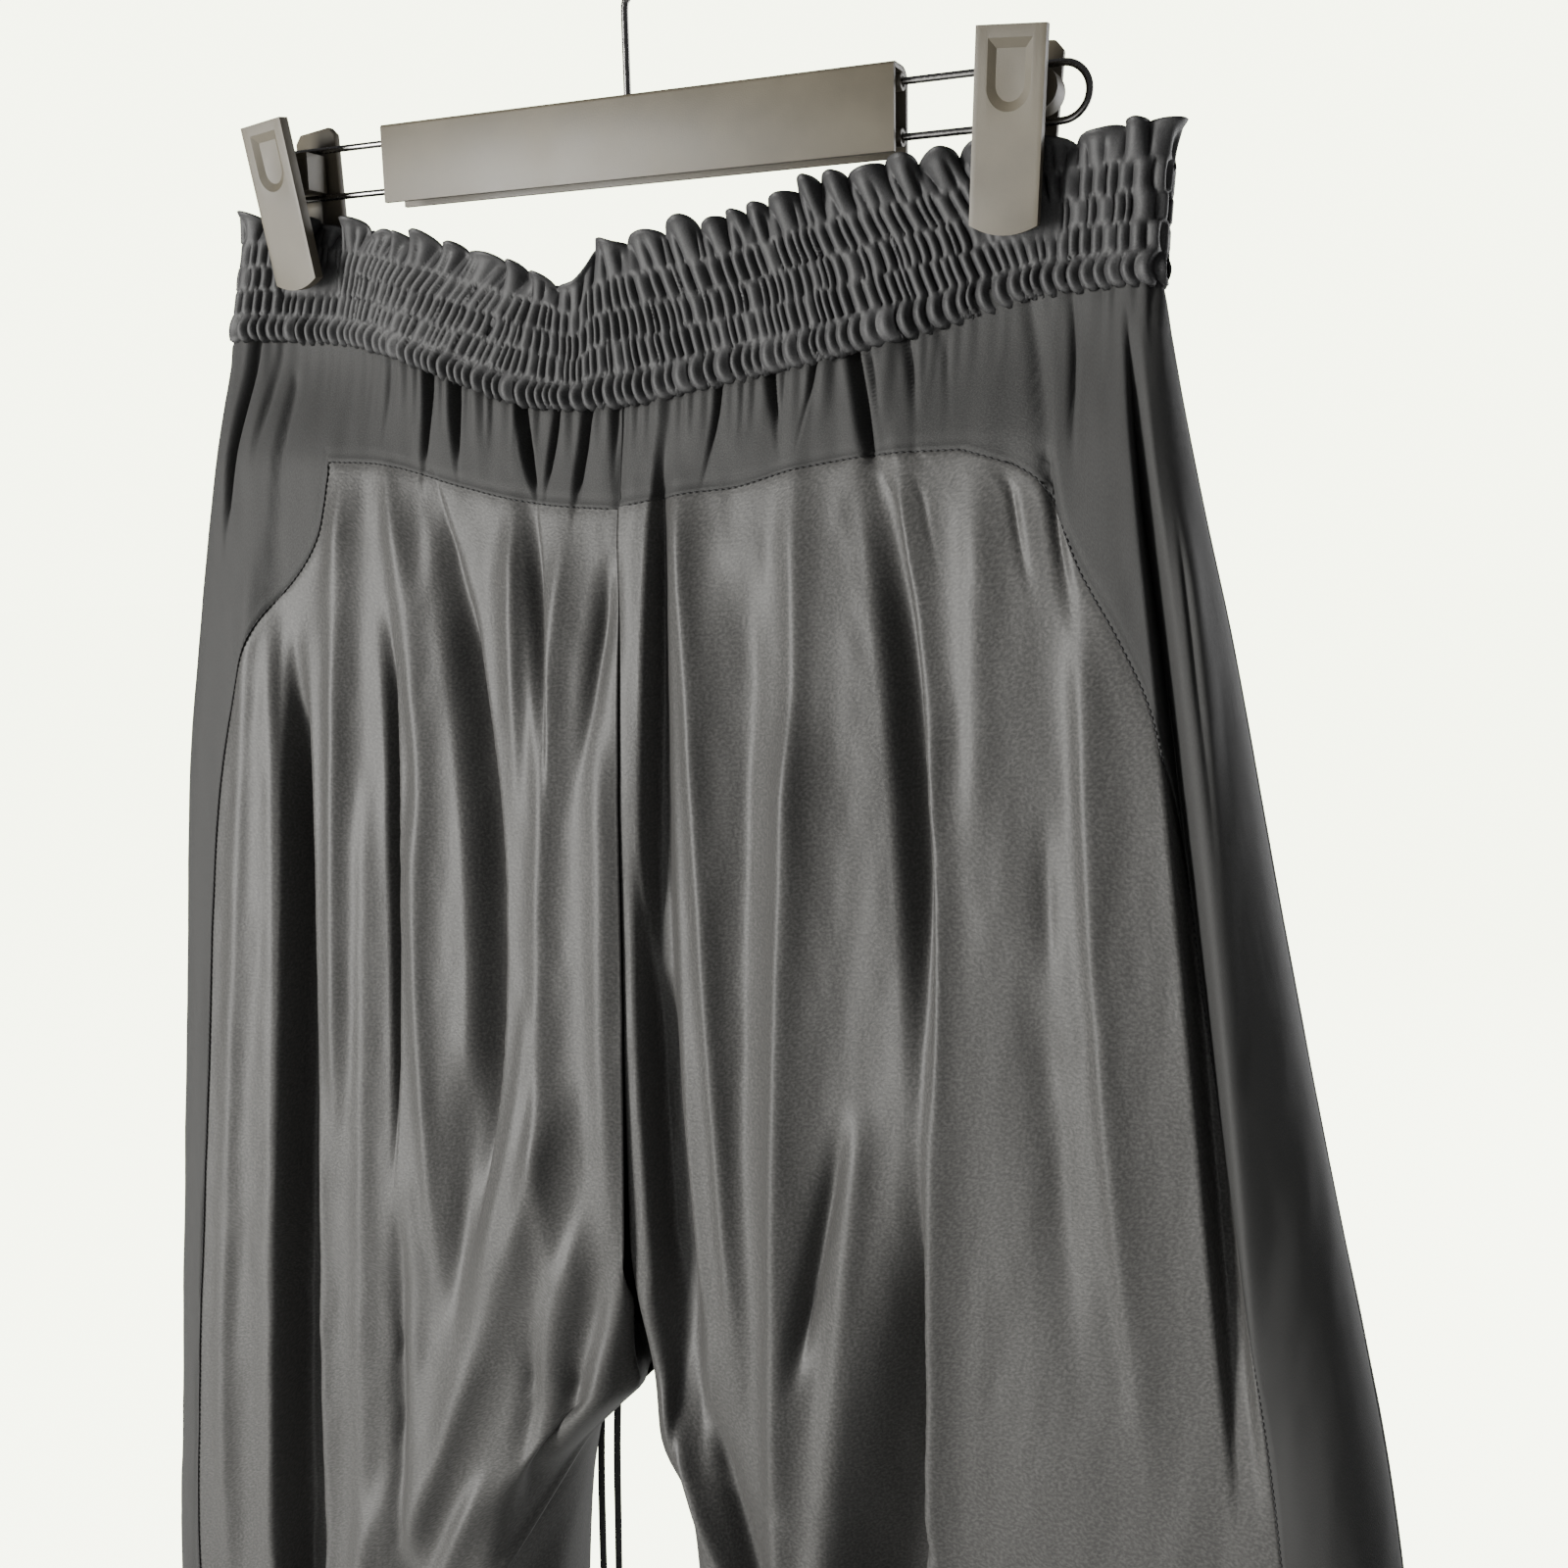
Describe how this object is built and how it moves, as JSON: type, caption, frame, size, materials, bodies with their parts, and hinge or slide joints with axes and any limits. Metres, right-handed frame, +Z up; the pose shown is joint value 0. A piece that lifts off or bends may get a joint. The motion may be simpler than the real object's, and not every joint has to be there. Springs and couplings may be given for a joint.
{
  "type": "silk joggers on a clip hanger",
  "caption": "Loose silk joggers with a shirred paperbag waist, matte yoke and side panels and gathered ankles, hanging by the waist from a clip hanger.",
  "frame": {"origin": "inner top of the hanger's hook, where a rail carries it", "axes": "+X along the hanger to the wearer's right, +Y to the side that shows the garment's front, +Z up"},
  "size_m": [0.559, 0.114, 1.2172],
  "materials": {
    "satin": "charcoal silk satin with a low sheen",
    "crepe": "matte black crepe",
    "drawstring": "flat woven tape",
    "hanger_plastic": "satin taupe grey",
    "hanger_steel": "polished wire"
  },
  "bodies": {
    "root": {"back_panel_left": "satin", "back_panel_right": "satin", "front_panel_left": "satin", "front_panel_right": "satin", "back_yoke_left": "crepe", "back_yoke_right": "crepe", "front_yoke_left": "crepe", "front_yoke_right": "crepe", "waistband_back": "crepe", "waistband_front": "crepe", "ankle_cuff_left": "crepe", "ankle_cuff_right": "crepe", "drawstring_left": "drawstring", "drawstring_right": "drawstring", "hanger_bar": "hanger_plastic", "clip_left_front": "hanger_plastic", "clip_left_back": "hanger_plastic", "clip_right_front": "hanger_plastic", "clip_right_back": "hanger_plastic", "hanger_hook": "hanger_steel", "hanger_wires": "hanger_steel", "clip_left_spring": "hanger_steel", "clip_right_spring": "hanger_steel"}
  },
  "joints": []
}
